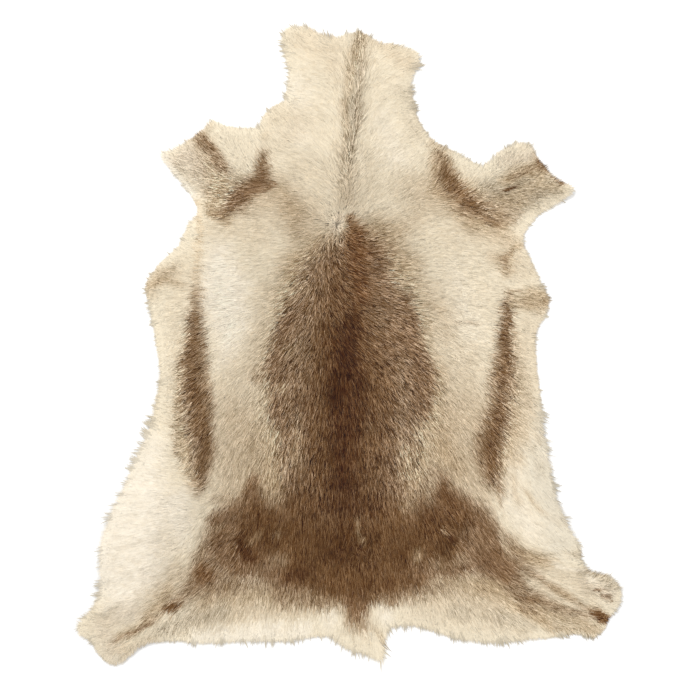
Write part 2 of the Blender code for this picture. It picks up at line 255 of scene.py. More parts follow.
HAUNCHES = [
    ("taupe", 3, 0.85, [(-23.6, -32, 1.8), (-24, -38, 2.8), (-27, -42, 2.6), (-22, -42, 2.6)]),
    ("brown", 2.6, 0.9, [(-23.4, -31, 1.2), (-19.6, -29.6, 2), (-17.6, -33, 5), (-20, -36, 4.6)]),
    ("brown", 3, 0.8, [(-26, -41, 2)]),
    ("brown", 2.4, 0.8, [(-20, -39.8, 1.2), (-16, -40.4, 1.4), (-12.4, -42, 1.8), (-12, -45, 1.6)]),
    ("taupe", 2.4, 0.5, [(-27.4, -37.4, 1.2), (-25.4, -36, 0.8)]),
    ("brown", 3, 0.95, [(-14, -34, 5.6), (-6, -36, 9.6), (0, -37, 9.8), (7, -37, 9)]),
    ("brown", 2.4, 0.9, [(-17.2, -24.4, 0.8), (-17, -28, 2.2)]),
    ("brown", 2.6, 0.9, [
        (16.8, -24, 0.8), (17, -27.4, 2.4), (18, -32, 5), (24.6, -36, 3.2), (28.4, -39.6, 2.2),
    ]),
    ("brown", 3, 0.8, [(19, -26.6, 1), (23, -30, 2), (26, -33, 1.2)]),
    ("brown", 2.4, 0.85, [(13.2, -28.6, 1.4), (15, -31, 1.6)]),
    ("rust", 3, 0.6, [(-26, -41, 1.4)]),
    ("taupe", 3, 0.7, [(15, -40, 0.8), (20, -40, 1.2)]),
    ("brown", 2.4, 0.8, [(15, -41, 1), (21.8, -39.6, 1.6)]),
    ("rust", 3, 0.5, [(17, -26.6, 1.4), (19, -31, 2.2), (14.4, -31.4, 1.6)]),
    ("umber", 5, 0.85, [(-16, -33, 3), (-8, -36, 4.8), (0, -37, 6.2), (8, -36, 4.6), (15, -34, 3)]),
    ("umber", 3, 0.7, [(19.4, -31.6, 2)]),
    ("umber", 3, 0.6, [(-16.6, -28.6, 1), (-14, -30.6, 1.6)]),
    ("umber", 4, 0.75, [(-8, -28.6, 2), (0, -29, 2.8), (8, -30, 1.8)]),
    ("dark", 4, 0.65, [(-5, -28, 0.8), (-0.6, -28.4, 2), (4.6, -29.4, 0.7)]),
    ("dark", 5, 0.4, [(0, -32, 1), (-1, -38, 1.4)]),
    ("umber", 3, 0.8, [(-9, -42.2, 1), (0, -42.8, 2.6), (7, -42.8, 1.8), (13.2, -42.2, 0.7)]),
    ("dark", 1.8, 0.95, [(-19.4, -34.6, 0.7), (-18.8, -36.6, 1.4), (-16.6, -38.6, 0.7)]),
    ("tan", 1.4, 0.5, [(-17, -35, 0.4), (-15.8, -33.6, 0.5)]),
    ("brown", 2, 0.6, [(-18, -42.6, 0.7), (-11.8, -44.4, 0.9)]),
    ("tan", 1.4, 0.4, [(-23, -32.4, 0.5)]),
    ("taupe", 2, 0.7, [(-12.6, -33.4, 0.8)]),
    ("taupe", 2.4, 0.9, [(-13.4, -38.2, 1), (-11.4, -38.2, 1)]),
    ("dark", 2, 0.7, [(-10.8, -41.4, 0.5), (-8.4, -40.4, 0.9)]),
    ("umber", 3, 0.85, [(17.6, -36.8, 2.4)]),
    ("dark", 1.6, 0.8, [(18, -34.9, 0.5), (19.6, -35, 0.3)]),
    ("tan", 0.9, 0.8, [(17.1, -33.5, 0.4)]),
    ("tan", 2.4, 0.5, [(10.4, -28.4, 0.9)]),
    ("tan", 2, 0.8, [(12.4, -37.6, 0.9)]),
    ("umber", 2, 0.5, [(26.4, -37, 0.6), (29.4, -39, 0.4)]),
    ("dark", 1.8, 0.6, [(7, -42.6, 0.7)]),
    ("tan", 1, 0.6, [(1.2, -31, 0.3), (2, -33.4, 0.4), (3.2, -34.6, 0.4)]),
]
RUMP = [
    ("tan", 4, 0.8, [(-26, -46, 1.6), (-17, -44.6, 1.8), (-10, -46, 1.2), (-3, -46.2, 1)]),
    ("taupe", 2.6, 0.85, [(-12, -44.8, 1.5), (-7, -45.2, 1.5), (-2, -45.5, 1.5)]),
    ("taupe", 2.6, 0.75, [(-25, -44.2, 1.2), (-19.6, -42.8, 1.4)]),
    ("tan", 3, 0.8, [(16, -43.4, 1.2), (18, -42.8, 1.8), (25, -43.4, 2)]),
    ("taupe", 2.6, 0.85, [(4, -45, 1.2), (10, -44.8, 1.1), (15, -44, 1.6), (18, -43.6, 0.8)]),
    ("fawn", 5, 0.75, [(-10, -47.8, 0.8), (-18, -48, 1.6), (-26, -48, 2)]),
    ("ash", 3, 0.75, [(-22.6, -48, 1.4), (-29, -49.6, 2), (-34, -51.4, 1)]),
    ("umber", 2.4, 0.8, [(-5, -43.4, 1), (0.6, -43.8, 1.6), (7.6, -43.4, 1)]),
    ("ivory", 3, 0.7, [(-3.8, -49.6, 1.3)]),
    ("ivory", 2.4, 0.7, [(-27, -52.4, 1.2), (-18, -51.8, 1.6), (-8, -51.4, 1.4)]),
    ("ivory", 2.4, 0.8, [(6.8, -48.6, 1.2)]),
    ("fawn", 4, 0.8, [(13, -46, 1), (19, -45.4, 1.8), (27, -47.6, 1.8)]),
    ("sand", 5, 0.8, [(12, -48.4, 1.4), (22, -49, 2), (32, -51, 1.4)]),
    ("ash", 3, 0.5, [(19, -47.6, 0.8), (27, -49, 1.2), (33, -50, 1)]),
]
TAIL = [
    ("brown", 1.6, 0.95, [(1.2, -45.2, 2), (2.2, -46.8, 2), (1.2, -48.6, 1)]),
    ("umber", 1.6, 0.8, [(1.2, -41, 0.6), (1.2, -44.4, 0.9)]),
    ("taupe", 2, 0.6, [(-0.2, -47.6, 0.7), (-0.2, -50, 0.6)]),
    ("umber", 1.6, 0.6, [(4.4, -45.8, 0.9)]),
    ("taupe", 1.6, 0.9, [(0.6, -49.4, 0.8), (3, -50.4, 0.9)]),
    ("taupe", 1.6, 0.4, [(1, -51.6, 0.3)]),
    ("tan", 0.9, 0.6, [(4, -50, 0.2), (6, -52, 0.25), (6.8, -54, 0.2)]),
]
STRIPES = [
    ("tan", 2.4, 0.8, [
        (-29.4, 1, 0.5), (-30.4, -5, 0.7), (-30, -13, 1.1), (-29.4, -17, 1.4), (-28.4, -21, 1.3),
        (-27.4, -25, 0.9),
    ]),
    ("tan", 2.4, 0.6, [(-27.2, 13, 0.3), (-27.2, 9, 0.9)]),
    ("taupe", 2, 0.95, [
        (-27.2, 10.4, 0.3), (-27.4, 6, 1), (-27.8, 2, 1.8), (-27.8, -3, 2.5), (-27.4, -8, 3),
    ]),
    ("taupe", 2, 0.95, [
        (-27.4, -8, 3), (-26.6, -13, 2.7), (-26.1, -19, 2.3), (-26.2, -24, 1.4), (-26.8, -26.6, 0.3),
    ]),
    ("umber", 2, 0.6, [(-27.6, 5, 0.4), (-28, 0, 1), (-28, -6, 1.2), (-28, -10.4, 0.6)]),
    ("umber", 2, 0.65, [(-27, -8, 1), (-26.3, -14, 1.5), (-25.9, -19, 0.9), (-26, -23, 0.4)]),
    ("umber", 0.9, 0.35, [(-31.4, -14, 0.2), (-30.8, -19, 0.3), (-29.6, -20.8, 0.2)]),
    ("tan", 2.4, 0.7, [(29, 9, 0.6), (29, 4, 1), (29.4, -8, 1.4), (28.6, -15, 1.4), (27.6, -22, 1)]),
    ("taupe", 1.6, 0.95, [(28.8, 9, 0.4), (28.5, 6, 1.3), (28.3, 1, 2), (28.2, -5, 2.1)]),
    ("taupe", 2.6, 0.95, [
        (27.8, -5, 2.1), (27.3, -10, 2.5), (26.2, -15, 2.7), (25.2, -18.6, 3), (25.6, -23, 2),
        (27, -26, 0.9),
    ]),
    ("fawn", 2, 0.6, [(29.6, -23.6, 0.7), (30.6, -28, 0.6)]),
    ("umber", 1.6, 0.7, [(28.6, 7, 0.4), (28.3, 3, 1), (28.3, -3, 1), (27.8, -7, 0.8)]),
    ("umber", 2, 0.75, [(27.4, -9, 0.8), (26.4, -15, 1.3), (25.6, -19, 1.6), (25.8, -23, 0.6)]),
    ("rust", 0.8, 0.4, [(27.2, -25.6, 0.15), (27.4, -29, 0.15)]),
    ("fawn", 3, 0.8, [(29.8, 18.6, 0.9), (29, 14, 1.5), (26.4, 16, 1)]),
    ("tan", 1.6, 0.8, [(31, 18.4, 0.3), (28.8, 16, 1), (28, 12.6, 0.5)]),
    ("taupe", 1.2, 0.7, [(29.6, 17.2, 0.3), (28.4, 15.8, 0.6), (27.8, 12.2, 0.2)]),
    ("umber", 1, 0.6, [(28.3, 15.6, 0.3)]),
]
LEFT_FORELEG = [
    ("blush", 4, 0.9, [(-31, 33, 1.4), (-28, 34, 2.4), (-24, 30, 3)]),
    ("tan", 5, 0.65, [(-26.4, 36.6, 0.6), (-24.6, 31.6, 1.4), (-22.8, 28.6, 2.6), (-20, 28.6, 1.6)]),
    ("ash", 3, 0.3, [(-30, 32.4, 1), (-27, 29, 1)]),
    ("ivory", 1.6, 0.8, [(-34, 35, 0.6), (-31.4, 31, 0.8), (-28.4, 27, 0.8)]),
    ("taupe", 1.6, 0.9, [(-28, 38.6, 0.8), (-26.6, 37.2, 1.2), (-24.6, 34.6, 1), (-22.7, 32, 1.2)]),
    ("umber", 1, 0.5, [(-26.6, 38.6, 0.3), (-24.2, 35.4, 0.4)]),
    ("tan", 2, 0.95, [(-25.4, 25.6, 0.6), (-24.4, 24.2, 1), (-21.6, 22.8, 0.9)]),
    ("tan", 2.4, 0.85, [(-24, 26.6, 1), (-22.6, 28.6, 1.2)]),
    ("fawn", 1.6, 0.7, [(-29.6, 37, 0.4), (-25.2, 40, 0.5)]),
    ("taupe", 2.4, 0.95, [
        (-22.8, 23.8, 1), (-20.3, 25.8, 1.9), (-17.4, 28.2, 2), (-15.6, 30.2, 1.5), (-15.2, 35, 0.7),
    ]),
    ("brown", 2, 0.8, [(-21, 25.2, 0.8), (-18.4, 27.4, 1.1), (-15.8, 29.8, 1), (-15.3, 33.2, 0.5)]),
    ("umber", 1, 0.8, [(-15, 28, 0.3), (-14, 29.2, 0.5)]),
]
RIGHT_FORELEG = [
    ("brown", 1.3, 0.6, [(33.4, 34.6, 0.3), (35.8, 32.2, 0.6), (38.2, 30.0, 0.3)]),
    ("ash", 4, 0.95, [(24.6, 28, 1.6), (28, 27.6, 3), (33, 28, 3.2), (37, 28.8, 1.8)]),
    ("tan", 3, 0.45, [(28, 26.4, 1.4), (31, 27, 2), (34, 29, 1.6), (37.6, 28.8, 0.8)]),
    ("blush", 3, 0.6, [(28.8, 33.4, 1.2), (33, 34.4, 1.6)]),
    ("tan", 2.4, 0.8, [(28.4, 30, 0.8), (31.6, 31.6, 1.2), (34.4, 32, 1.8)]),
    ("taupe", 1.6, 0.6, [(29.6, 30.4, 0.5), (32.6, 31.6, 0.6), (35, 32.4, 0.9)]),
    ("brown", 1, 0.95, [(34.6, 34, 0.4), (36, 32.2, 0.8), (38.6, 29.6, 0.4)]),
    ("dark", 0.7, 0.9, [(28.2, 28.2, 0.25), (29.6, 28.6, 0.3)]),
    ("taupe", 2, 0.5, [(25.6, 24.6, 0.9), (28, 24.4, 1), (31, 23.8, 0.6)]),
    ("tan", 3, 0.5, [(21, 29.4, 1), (24.6, 26.6, 1), (31, 25.4, 0.8)]),
    ("taupe", 1.4, 0.5, [(14.8, 36.8, 0.4), (19, 33.2, 0.6)]),
    ("fawn", 4, 0.9, [(16.2, 34.4, 1.4), (17, 28.2, 3.2), (23.6, 22.6, 3.2), (28.4, 19.4, 1.8)]),
    ("tan", 4, 0.8, [(17, 33.6, 0.9), (17.8, 28.4, 2.3), (23, 23.8, 2.5), (27.6, 21.6, 1)]),
    ("taupe", 3, 0.95, [(17, 34.4, 0.9), (17.9, 30.6, 1.5), (19, 27.9, 2), (21.8, 25.5, 1.9)]),
    ("taupe", 3, 0.7, [(21.8, 25.5, 1.9), (24.6, 23.8, 1.4), (27.4, 22.2, 0.6)]),
    ("taupe", 2, 0.6, [(23, 25.4, 1.2), (26.4, 23.8, 1.1), (30, 22.4, 0.7)]),
    ("umber", 2.4, 0.75, [(17.9, 31.8, 0.6), (18.8, 29, 1.1), (22, 25.8, 1.1), (23.6, 24.4, 0.5)]),
    ("rust", 1.4, 0.4, [(24.4, 23, 0.4), (27, 21.6, 0.4)]),
]
LEFT_HIND_LEG = [
    ("blush", 4, 0.5, [(-38, -47, 1.4), (-44, -50, 2), (-42, -55, 2)]),
    ("fawn", 3, 0.6, [(-41, -55, 1), (-36, -53.4, 1.2)]),
    ("fawn", 4, 0.7, [(-30.4, -40.6, 1.4), (-33.4, -43.6, 1.4), (-36, -49, 1)]),
    ("tan", 2.4, 0.7, [(-32.2, -43.8, 0.9), (-35.6, -48.6, 1), (-40, -51.8, 0.7)]),
    ("taupe", 3, 0.85, [(-28, -43.6, 1.4), (-31.4, -46.2, 1.2)]),
    ("taupe", 1.6, 0.6, [(-34.2, -48.6, 0.7), (-37.4, -50.6, 0.5), (-42, -52.8, 0.3)]),
    ("brown", 0.9, 0.6, [(-35, -49.8, 0.15), (-38, -51, 0.2), (-41, -52.4, 0.1)]),
    ("umber", 1, 0.9, [(-33.2, -46.6, 0.5), (-31.8, -47, 0.9), (-30.8, -46.8, 0.5)]),
    ("cream", 1, 0.6, [(-34.8, -47.6, 0.2), (-32.4, -48.8, 0.3), (-29.4, -48.2, 0.2)]),
    ("ash", 1.6, 0.4, [(-41, -46.6, 0.3), (-44, -48.6, 0.5)]),
    ("bone", 1.6, 0.6, [(-41.6, -55.6, 0.8)]),
]
RIGHT_HIND_LEG = [
    ("sand", 3, 0.8, [(36, -39.6, 1), (41, -41.6, 1.4), (44, -45, 1.2)]),
    ("fawn", 2.4, 0.9, [(28, -33.6, 0.7), (29.4, -35.6, 1.3), (31, -37, 1.2), (36.4, -38.8, 1)]),
    ("tan", 2, 0.8, [(30, -36.6, 0.6), (32.6, -38, 1.1), (35.4, -39, 0.6)]),
    ("taupe", 2.2, 0.8, [(29, -38.2, 1), (33, -40.6, 1), (36, -42.6, 0.5), (41.6, -46, 0.4)]),
    ("taupe", 2.4, 0.75, [(28.4, -34, 0.5), (30.6, -37.8, 1.3)]),
    ("ash", 0.8, 0.8, [(34, -37.4, 0.15), (41.6, -37.5, 0.25)]),
    ("tan", 3, 0.8, [(25, -42, 1.8), (29, -45, 2.2), (34, -47.4, 1.7), (40, -49.2, 0.8), (45, -50.6, 0.8)]),
    ("tan", 2, 0.8, [(30.6, -46.6, 0.8), (33, -47.8, 1), (37, -50.8, 0.6), (44, -51.6, 0.6)]),
    ("brown", 3, 0.85, [(24.6, -38.6, 2), (28.4, -40.6, 2.2), (30.6, -42.4, 1)]),
    ("taupe", 2.2, 0.85, [(30, -43.4, 1.5), (34, -45, 1.4), (38, -46.8, 0.8), (42.8, -48.4, 0.5)]),
    ("umber", 1.2, 0.6, [(27.4, -41, 0.4), (29, -42.4, 0.3)]),
    ("umber", 1.2, 0.6, [(31.4, -44.8, 0.5), (34, -45.8, 0.4)]),
    ("taupe", 2, 0.7, [(31, -46.6, 0.7), (33.6, -47.4, 0.6)]),
    ("sand", 2, 0.6, [(33.8, -42.8, 0.8), (36, -44.4, 0.6)]),
    ("tan", 1.4, 0.6, [(36.6, -42.8, 0.6), (38, -43.6, 0.7), (40.4, -45, 0.5)]),
    ("blush", 2.4, 0.6, [(43, -42.4, 0.8), (47, -44.4, 1.4)]),
    ("ash", 1.6, 0.9, [(42, -40.2, 0.7), (46, -40.8, 0.9), (48.4, -43.4, 0.6)]),
    ("tan", 1.4, 0.5, [(43, -40, 0.3), (46.4, -40.6, 0.4)]),
    ("ivory", 1.2, 0.7, [(37.4, -39.6, 0.3), (43, -40, 0.2), (44.6, -42.6, 0.3)]),
    ("brown", 0.7, 0.8, [(44.2, -43.7, 0.2), (46.2, -43.9, 0.2)]),
    ("brown", 0.7, 0.8, [(45.6, -44.8, 0.2), (47.4, -45.4, 0.2)]),
    ("taupe", 1.6, 0.8, [(42.4, -46.8, 0.5), (44.8, -47.6, 1)]),
    ("umber", 0.9, 0.95, [(44.2, -47.8, 0.5), (45.6, -48.4, 1.1), (46.6, -48.9, 0.8)]),
]

# All of them, in the order in which they are painted.
MARKINGS = (
    BELLY, NECK, SHOULDERS, FLANKS, FLAPS, SADDLE, HAUNCHES, RUMP, TAIL, STRIPES, LEFT_FORELEG,
    RIGHT_FORELEG, LEFT_HIND_LEG, RIGHT_HIND_LEG,
)

# The way the hair lies: (across, along, heading), the heading in degrees counter-clockwise from +X.
COMB = {
    "neck": [
        (2.5, 54.5, 85), (0.2, 47, 108), (3.2, 47, 65), (-0.6, 40, 112), (2.8, 40, 58), (-1.6, 32, 118),
        (1.8, 32, 50), (-10.5, 56, 128), (-7, 53, 150), (-10.5, 51, 165), (-5, 49, 165), (-8.6, 46, 178),
        (-11, 44.5, 135), (-4.5, 43, 160), (7.5, 52, 25), (11, 51, 18), (6, 46, 28), (10, 44, 12),
        (12, 41, 15), (8.5, 37.5, 25),
    ],
    "shoulders": [
        (14.8, 35.8, 42), (19.5, 34, 50), (23.5, 31.6, 62), (5.5, 33, 42), (9.5, 27, 34), (15, 25, 5),
        (20.5, 24, -18), (10, 20, 22), (-14, 39, 130), (-5, 37, 140), (-9, 34, 165), (-4, 29, 150),
        (-9, 26, 180), (-15, 29, 178), (-17, 23, 183), (-9, 20, 188), (-23, 19.5, 182),
    ],
    "forelegs": [
        (-33, 34.5, 162), (-29, 32, 163), (-26, 36, 142), (-23, 33, 150), (-24, 28.5, 170), (-20, 27, 188),
        (-19.5, 37.5, 108), (-16.5, 35, 118), (-27, 26, 178), (27.5, 34, 75), (31, 35.5, 50),
        (33.5, 32, 25), (27.5, 29.5, 8), (34, 29, 0), (39.5, 28.6, -3), (36, 25.5, -14), (31, 23.5, -20),
        (24, 29.8, 45), (17.6, 31.6, 58), (20.4, 28.4, 32), (23.4, 25.6, 8), (26.6, 23, -12), (24, 21, -16),
    ],
    "whorl": [
        (0, 21.7, 5), (-0.6, 20.4, -40), (-2.4, 19.6, -95), (-3.8, 20.6, -140), (-4.2, 21.9, 180),
        (-3.4, 23.4, 145), (-1.8, 24, 100), (-0.4, 23.2, 55), (2, 21, 12), (4.5, 21, 22), (5, 17.4, 0),
        (1.4, 18, -22), (-1.2, 17.6, -42), (-3.2, 17, -92), (-5.2, 18, -140), (-7.4, 18.5, -165),
        (-6.4, 21.8, 182), (-5.4, 25, 150), (2.6, 25, 42), (-10, 20.5, 186), (-10.4, 16, -172),
        (-7.6, 14, -148), (-4.7, 13.6, -98), (-3, 14, -65), (0.5, 13.6, -24), (6, 13.6, -6), (11, 15, 5),
    ],
    "back": [
        (-4.8, 8.4, -92), (-2.6, 8.4, -58), (1, 8.4, -30), (6, 8.4, -14), (12, 9, -3), (15, 12, 0),
        (22, 15.5, -8), (27, 8.4, -8), (-8, 8.4, -130), (-12, 8.4, -156), (-16, 10.2, -168),
        (-21.5, 10.2, -178), (-26, 8.4, -175), (-4.6, 2, -92), (-2, 2, -62), (2.2, 1, -44), (6, 1, -34),
        (10, 1, -32), (16.5, 1, -28), (24, 1, -20), (28, 1, -14), (-7.6, 1, -118), (-11.3, 0, -130),
        (-17.6, 1.2, -142), (-24, 1.2, -155), (-28.5, 1, -150), (-3, -8, -92), (0, -9.6, -82),
        (2.6, -9.6, -72), (9.4, -9.6, -55), (16.5, -9.6, -47), (24, -9.6, -42), (28.3, -9.6, -36),
        (-6, -9.6, -104), (-11.3, -9.6, -114), (-17.6, -9.6, -124), (-26.6, -9.6, -132),
    ],
    "loin": [
        (0, -24, -90), (2.4, -20.4, -84), (9.4, -20.4, -72), (16.5, -20.4, -60), (24, -20.4, -54),
        (27.4, -22.2, -58), (-5, -20.4, -96), (-12.2, -20.4, -104), (-19.4, -20.4, -112),
        (-25.7, -20.4, -120), (-5, -31, -93), (-14, -31, -100), (-23, -33, -115), (-26.6, -38.4, -126),
        (9.4, -31.2, -80), (18.4, -31.2, -66), (25.6, -34.8, -54),
    ],
    "rump": [
        (0, -38.4, -90), (-5, -42, -92), (-14, -44, -97), (-21, -45.6, -110), (-30, -45.6, -140),
        (-26.6, -51, -106), (-34, -52, -116), (-12.2, -52, -92), (9.4, -42, -83), (18.4, -43.8, -64),
        (24, -51, -62), (34.6, -51, -40), (13, -49.2, -80), (1.5, -47.5, -89), (4, -52, -80), (6, -56, -68),
        (-2, -51.5, -100),
    ],
    "hind legs": [
        (-35.6, -49.2, -146), (-41, -53, -148), (-44.6, -53, -160), (-46.5, -49.5, -175), (-43, -56, -130),
        (27.4, -43.8, -42), (34.6, -45.6, -26), (41.8, -46.5, -12), (47, -46, -5), (43.5, -41.5, 8),
        (46, -42.5, 5), (45, -51.5, -35),
    ],
    "flaps": [
        (-31, 18, 152), (-34.5, 12, 176), (-33, 4.8, -166), (-33, -3, -162), (-33.5, -9.6, 178),
        (-34.5, -16, 155), (32.5, 15, -25), (35.5, 9, -10), (34, 3.5, -12), (33, -2, -20),
        (33.5, -9.6, -30), (31, -14, -35), (34.8, -17, -42),
    ],
    "belly": [
        (-30, -26, 165), (-37.5, -22, 166), (-40, -28, 180), (-33, -31, 190), (-42, -35, -170),
        (-37, -38, -163), (-43, -41, -166), (-32, -41, -150), (-37, -45, -158), (31, -25, -48),
        (36, -24, -40), (33, -31, -42), (38.5, -31, -45), (40.5, -36, -30), (34, -40, -14), (39, -40, -8),
    ],
}

# Places where the hair is ruffled, as (across, along, half width).
RUFFLED = [
    (-22, -35, 4), (18, -32, 4), (2, -35, 4), (-11, -39, 1), (12, -38, 1), (-30, -49.5, 3), (44, -44, 2),
    (31, -43, 2), (28, -48, 2), (33, -16, 2), (2, 48, 1),
]

# Strokes where single hairs stand out from each other, light against dark, with points as in the markings.
CRISP = {
    "back": [(0, 14, 6), (0, 4, 14), (0, -8, 16), (0, -16, 14)],
    "left flank": [(-21, 14, 3), (-20, 2, 3)],
    "right flank": [(20, 14, 2), (20, 0, 4)],
    "left leg": [(-29, 33, 2), (-22, 28, 4)],
    "right leg": [(20, 28, 1), (24, 24, 1)],
    "left stripe": [(-27.6, 8, 1), (-28, -8, 2.4), (-27, -24, 1)],
    "right stripe": [(28, 8, 1), (27, -12, 2.4), (26, -24, 1)],
    "mane": [(2, 56, 1), (1, 44, 1.4), (0, 30, 2)],
}

# The length of the hair as it lies, in millimetres, over a base length, as (length, soft edge, points),
# with points as in the markings.
BASE_LENGTH = 21
LENGTHS = {
    "neck": (34, 8, [(-5, 50, 6), (6, 48, 6), (0, 38, 6)]),
    "belly, left": (34, 4, [(-36, -14, 4), (-41, -26, 8), (-44, -42, 9)]),
    "belly, right": (32, 5, [(33, -12, 2), (35, -24, 3.4), (38, -34, 3)]),
    "rump": (29, 6, [(-30, -53, 6), (0, -53, 7), (30, -54, 7)]),
    "foreleg, left": (15, 6, [(-34, 35, 5), (-21, 30, 5)]),
    "foreleg, right": (15, 6, [(41, 28, 5), (26, 30, 5)]),
    "hind leg, left": (20, 6, [(-48, -52, 5), (-36, -49, 5)]),
    "hind leg, right": (20, 6, [(49, -46, 5), (36, -46, 4)]),
    "bump, left": (15, 4, [(-36, 11, 2), (-31, 14, 2)]),
}


def smooth_step(value):
    """Eases from 0 to 1 as the values go from 0 to 1."""
    value = np.clip(value, 0.0, 1.0)
    return value * value * (3.0 - 2.0 * value)


def unit(x, y):
    """Vectors made one long."""
    length = np.maximum(np.hypot(x, y), 1e-6)
    return x / length, y / length


def from_spine(points):
    """A table's points, in centimetres from the spine, as metres in the frame of the hide."""
    return np.array(points, float) * CM + np.array([SPINE_ACROSS, 0.0, 0.0])[: len(points[0])]


def along_segment(x, y, start, end):
    """The share of a segment at which each place is nearest to it, and the distance there."""
    run, rise = end[0] - start[0], end[1] - start[1]
    length_2 = max(run**2 + rise**2, 1e-12)
    share = np.clip(((x - start[0]) * run + (y - start[1]) * rise) / length_2, 0.0, 1.0)
    return share, np.hypot(x - start[0] - share * run, y - start[1] - share * rise)


def stroke_cover(x, y, points, soft_edge):
    """How fully a stroke of varying width covers each place, from 0 to 1."""
    points = from_spine(points)
    cover = np.zeros_like(x)
    for start, end in zip(points, points[1:] if len(points) > 1 else points):
        share, distance = along_segment(x, y, start, end)
        half = start[2] + share * (end[2] - start[2])
        cover = np.maximum(cover, smooth_step((half - distance) / (soft_edge * CM) + 0.5))
    return cover


def between(values, columns, rows, across, up):
    """A grid's values between two columns and two rows, at these shares of the way to the second ones."""
    (left, right), (low, high) = columns, rows
    lower = values[low, left] * (1 - across) + values[low, right] * across
    upper = values[high, left] * (1 - across) + values[high, right] * across
    return lower * (1 - up) + upper * up


def soft_noise(x, y, size, seed):
    """Smooth random values from -1 to 1 whose bumps are about size across."""
    values = np.random.default_rng(seed).uniform(-1.0, 1.0, (NOISE_CELLS, NOISE_CELLS))
    column, row = x / size + NOISE_CELLS / 2, y / size + NOISE_CELLS / 2
    left, low = np.floor(column).astype(int), np.floor(row).astype(int)
    columns = left % NOISE_CELLS, (left + 1) % NOISE_CELLS
    rows = low % NOISE_CELLS, (low + 1) % NOISE_CELLS
    return between(values, columns, rows, smooth_step(column - left), smooth_step(row - low))


class Lattice:
    """A square lattice over the hide and its surroundings, whose values are read between its points."""

    def __init__(self, low, high, step):
        self.low, self.step = low, step
        columns = int((high[0] - low[0]) / step) + 2
        rows = int((high[1] - low[1]) / step) + 2
        self.x, self.y = np.meshgrid(low[0] + step * np.arange(columns), low[1] + step * np.arange(rows))
        self.high = self.x[0, -1], self.y[-1, 0]

    def read(self, values, x, y):
        rows, columns = values.shape
        column = np.clip((x - self.low[0]) / self.step, 0, columns - 1.001)
        row = np.clip((y - self.low[1]) / self.step, 0, rows - 1.001)
        left, low = column.astype(int), row.astype(int)
        return between(values, (left, left + 1), (low, low + 1), column - left, row - low)


def blurred(values, cells):
    """Values averaged over a bell-shaped window that reaches this many cells to each side."""
    offsets = np.arange(-cells, cells + 1)
    weights = np.exp(-0.5 * (offsets / (0.5 * cells)) ** 2)
    weights /= weights.sum()
    for axis in (0, 1):
        padding = [(0, 0), (0, 0)]
        padding[axis] = (cells, cells)
        wide = np.pad(values, padding, mode="edge")
        count = values.shape[axis]
        values = sum(
            weight * np.take(wide, np.arange(start, start + count), axis=axis)
            for start, weight in enumerate(weights)
        )
    return values


def rim_loop(solid):
    """The rim of the CAD solid, seen from above, as points in order: where its upright faces stand."""
    after = {}  # the neighbours of each place on the rim
    vertices = solid.data.vertices
    for face in solid.data.polygons:
        if abs(face.normal.z) > 0.01:
            continue
        places = [tuple(round(value, 5) for value in vertices[index].co[:2]) for index in face.vertices]
        for start, end in zip(places, places[1:] + places[:1]):
            if start != end:
                after.setdefault(start, set()).add(end)
                after.setdefault(end, set()).add(start)
    start = min(after)
    loop, last = [start], None
    while True:
        onward = [place for place in sorted(after[loop[-1]]) if place != last]
        last = loop[-1]
        if onward[0] == start:
            return np.array(loop)
        if onward[0] in loop:
            onward = onward[1:]
            if not onward or onward[0] == start:
                return np.array(loop)
        loop.append(onward[0])


class Shape:
    """The hide's rim and heights on a lattice, read from the CAD solid."""

    def __init__(self, solid, low, high):
        corners = (low.x - MARGIN, low.y - MARGIN), (high.x + MARGIN, high.y + MARGIN)
        self.lattice = Lattice(*corners, SHAPE_STEP)
        self.rim = rim_loop(solid)
        self.measure_rim()
        self.measure_heights(solid, high.z)

    def measure_rim(self):
        """The distance to the rim, above zero inside, and the way out of the hide."""
        x, y = self.lattice.x, self.lattice.y
        nearest = np.full(x.shape, np.inf)
        crossings = np.zeros(x.shape, int)
        for start, end in zip(self.rim, np.roll(self.rim, -1, axis=0)):
            nearest = np.minimum(nearest, along_segment(x, y, start, end)[1])
            if start[1] != end[1]:
                crossing = start[0] + (y - start[1]) / (end[1] - start[1]) * (end[0] - start[0])
                crossings += ((start[1] > y) != (end[1] > y)) & (x < crossing)
        self.inside = crossings % 2 == 1
        self.depth = np.where(self.inside, nearest, -nearest)
        up, right = np.gradient(blurred(self.depth, 4), self.lattice.step)
        self.out_x, self.out_y = unit(-right, -up)

    def measure_heights(self, solid, top):
        """The heights of the solid's lower face and upper face, smoothed, and carried on past the rim."""
        tree = BVHTree.FromObject(solid, bpy.context.evaluated_depsgraph_get())
        lower, upper = np.zeros(self.inside.shape), np.zeros(self.inside.shape)
        clear = 10 * CM  # from the rays' starts to the solid
        for row, column in zip(*np.nonzero(self.inside)):
            place = self.lattice.x[row, column], self.lattice.y[row, column]
            under = tree.ray_cast(Vector((*place, -clear)), Vector((0, 0, 1)))[0]
            over = tree.ray_cast(Vector((*place, top + clear)), Vector((0, 0, -1)))[0]
            lower[row, column] = under.z if under else 0.0
            upper[row, column] = over.z if over else 0.0
        known = self.inside.astype(float)
        near_cells, far_cells = 4, 20
        near = np.maximum(blurred(known, near_cells), 1e-9)
        far = np.maximum(blurred(known, far_cells), 1e-9)
        fade = smooth_step(near * 2)
        lower, upper = (
            blurred(values * known, near_cells) / near * fade
            + blurred(values * known, far_cells) / far * (1 - fade)
            for values in (lower, upper)
        )
        past = smooth_step(1.0 + self.depth / EDGE_WIDTH)
        self.lower = lower * past
        self.upper = self.lower + (upper - self.lower) * (0.2 + 0.8 * past)

    def read(self, values, x, y):
        return self.lattice.read(values, x, y)


